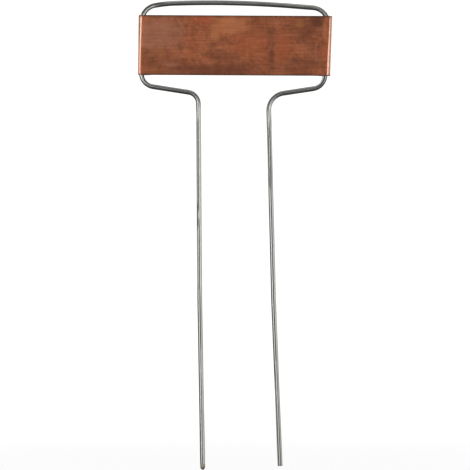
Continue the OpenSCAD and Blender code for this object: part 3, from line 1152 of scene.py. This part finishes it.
def backdrop_material():
    """Pale paper that reads white behind the object and still takes its shadow beside the legs."""
    material, tree = new_tree("studio_paper")
    spot = tree.nodes.new("ShaderNodeTexCoord").outputs["Object"]
    y = add(tree, "ShaderNodeSeparateXYZ", {"Vector": spot}).outputs["Y"]
    shown = math_node(
        tree, "MAXIMUM", remap(tree, y, 0.0, FULL_BEHIND),
        remap(tree, y, FAINT_FROM, FAINT_TO, 0.0, FAINT))
    away = add(tree, "ShaderNodeVectorMath", {0: spot}, operation="LENGTH").outputs["Value"]
    white = remap(tree, away, NEAR, FAR, NEAR_WHITE, 1.0)
    strength = times(tree, seen_white(tree, shown), white)
    paper = add(tree, "ShaderNodeBsdfDiffuse", {"Color": (PAPER_GREY, PAPER_GREY, PAPER_GREY, 1.0)})
    glow = add(tree, "ShaderNodeEmission", {"Color": WHITE, "Strength": strength})
    both = add(tree, "ShaderNodeAddShader", {0: paper.outputs[0], 1: glow.outputs[0]})
    out = tree.nodes.new("ShaderNodeOutputMaterial")
    tree.links.new(both.outputs[0], out.inputs["Surface"])
    return material


def make_backdrop():
    """A floor that sweeps up into a wall behind the object."""
    half_w, front, wall_y, wall_h, sweep_r = 7.0, -7.0, 2.2, 0.9, 0.6
    spot, sweep_points = 0.5, 13
    profile = [(front, 0.0), (-spot, 0.0), (spot, 0.0)]
    for t in spread(0, math.pi / 2, sweep_points):
        profile.append((wall_y - sweep_r + sweep_r * math.sin(t), sweep_r - sweep_r * math.cos(t)))
    profile.append((wall_y, wall_h))
    points = [(x, y, z) for y, z in profile for x in (-half_w, half_w)]
    faces = grid_faces(len(profile), 2, False)
    return mesh_piece("studio_sweep", points, faces, {}, backdrop_material())


# Metal sees the room white in directions that point this far back, and whose height is
# under the first value in part and under the second in full
ROOM_BEHIND = 0.4
ROOM_HIGH, ROOM_LOW = 0.5, 0.25


def make_room(strength):
    """Plain light from all round, which the camera sees as white."""
    world = bpy.data.worlds.new("studio_room")
    world.use_nodes = True
    tree = world.node_tree
    way = tree.nodes.new("ShaderNodeTexCoord").outputs["Generated"]
    way = add(tree, "ShaderNodeSeparateXYZ", {"Vector": way}).outputs
    behind = times(
        tree, remap(tree, way["Y"], 0.0, ROOM_BEHIND), remap(tree, way["Z"], ROOM_HIGH, ROOM_LOW))
    white = {"Factor": seen_white(tree, behind), "A": strength, "B": 1.0}
    lit = add(tree, "ShaderNodeMix", white, data_type="FLOAT")
    tree.links.new(lit.outputs["Result"], tree.nodes["Background"].inputs["Strength"])
    tree.nodes["Background"].inputs["Color"].default_value = WHITE
    return world


# Sizes of the soft lamps, and where the upper two hang, in metres
SIDE_LAMP_SIZE = (0.75, 0.24)
TOP_LAMP_SIZE, TOP_LAMP_PLACE = (0.7, 0.5), (0, -0.1, 1.0)
BACK_LAMP_SIZE, BACK_LAMP_PLACE = (0.9, 0.5), (0, 1.0, 0.6)

# The camera's sensor in millimetres, and the nearest and farthest that it sees, in metres
SENSOR_W = 36.0
NEAREST, FARTHEST = 0.05, 20.0


class STAKE_OT_wire(bpy.types.Operator):
    """Make the bent galvanised wire"""

    bl_idname = "label_stake.wire"
    bl_label = "Bent Wire"

    def execute(self, context):
        scene = context.scene
        material = zinc_material(scene.stake_finishes, effect_groups())
        piece = make_wire(scene.stake_wire, scene.stake_plate, material)
        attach(piece, "stake")
        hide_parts("wire_stake")
        return {"FINISHED"}


class STAKE_OT_plate(bpy.types.Operator):
    """Make the folded copper name plate"""

    bl_idname = "label_stake.plate"
    bl_label = "Name Plate"

    def execute(self, context):
        scene = context.scene
        material = copper_material(scene.stake_finishes, effect_groups())
        piece = make_plate(scene.stake_wire, scene.stake_plate, material)
        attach(piece, "plate")
        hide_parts("name_plate")
        return {"FINISHED"}


class STAKE_OT_stage(bpy.types.Operator):
    """Make the floor, the lamps and the camera"""

    bl_idname = "label_stake.stage"
    bl_label = "Stage"

    def execute(self, context):
        scene = context.scene
        stage = scene.stake_stage
        make_backdrop()
        centre = (stage.camera_x, 0, stage.camera_z)
        target = (0, 0, stage.lamp_z)
        aside, forward = math.sin(stage.lamp_angle), -math.cos(stage.lamp_angle)
        for name, side in (("left_lamp", -1), ("right_lamp", 1)):
            away = Vector((side * aside, forward)) * stage.lamp_away
            power = getattr(stage, name)
            lamp(name, (*away, stage.lamp_z), target, SIDE_LAMP_SIZE, power)
        lamp("top_lamp", TOP_LAMP_PLACE, centre, TOP_LAMP_SIZE, stage.top_lamp)
        lamp("back_lamp", BACK_LAMP_PLACE, centre, BACK_LAMP_SIZE, stage.back_lamp)
        scene.world = make_room(stage.room)
        data = bpy.data.cameras.new("camera")
        data.sensor_width = SENSOR_W
        data.lens = data.sensor_width * stage.camera_y / stage.frame_h
        data.clip_start = NEAREST
        data.clip_end = FARTHEST
        camera = bpy.data.objects.new("camera", data)
        camera.location = (stage.camera_x, -stage.camera_y, stage.camera_z)
        aim(camera, centre)
        scene.collection.objects.link(camera)
        scene.camera = camera
        scene.view_settings.view_transform = "Standard"
        return {"FINISHED"}


class STAKE_PT_panel(bpy.types.Panel):
    """Sizes, colours and steps of the plant label stake"""

    bl_idname = "STAKE_PT_panel"
    bl_label = "Label Stake"
    bl_space_type = "VIEW_3D"
    bl_region_type = "UI"
    bl_category = "Label Stake"

    def draw(self, context):
        layout = self.layout
        for step in OPERATORS:
            layout.operator(step.bl_idname)
        for name in SETTINGS:
            settings = getattr(context.scene, name)
            box = layout.box()
            for key in settings.__annotations__:
                box.prop(settings, key)


SETTINGS = {
    "stake_wire": WireShape,
    "stake_plate": PlateShape,
    "stake_finishes": Finishes,
    "stake_stage": StageSet,
}
OPERATORS = (STAKE_OT_wire, STAKE_OT_plate, STAKE_OT_stage)
CLASSES = (*SETTINGS.values(), *OPERATORS, STAKE_PT_panel)


def register():
    for kind in CLASSES:
        bpy.utils.register_class(kind)
    for name, kind in SETTINGS.items():
        setattr(bpy.types.Scene, name, PointerProperty(type=kind))


def unregister():
    for name in SETTINGS:
        delattr(bpy.types.Scene, name)
    for kind in reversed(CLASSES):
        bpy.utils.unregister_class(kind)


def main():
    register()
    bpy.ops.label_stake.wire()
    bpy.ops.label_stake.plate()
    bpy.ops.label_stake.stage()


if __name__ == "__main__":
    main()
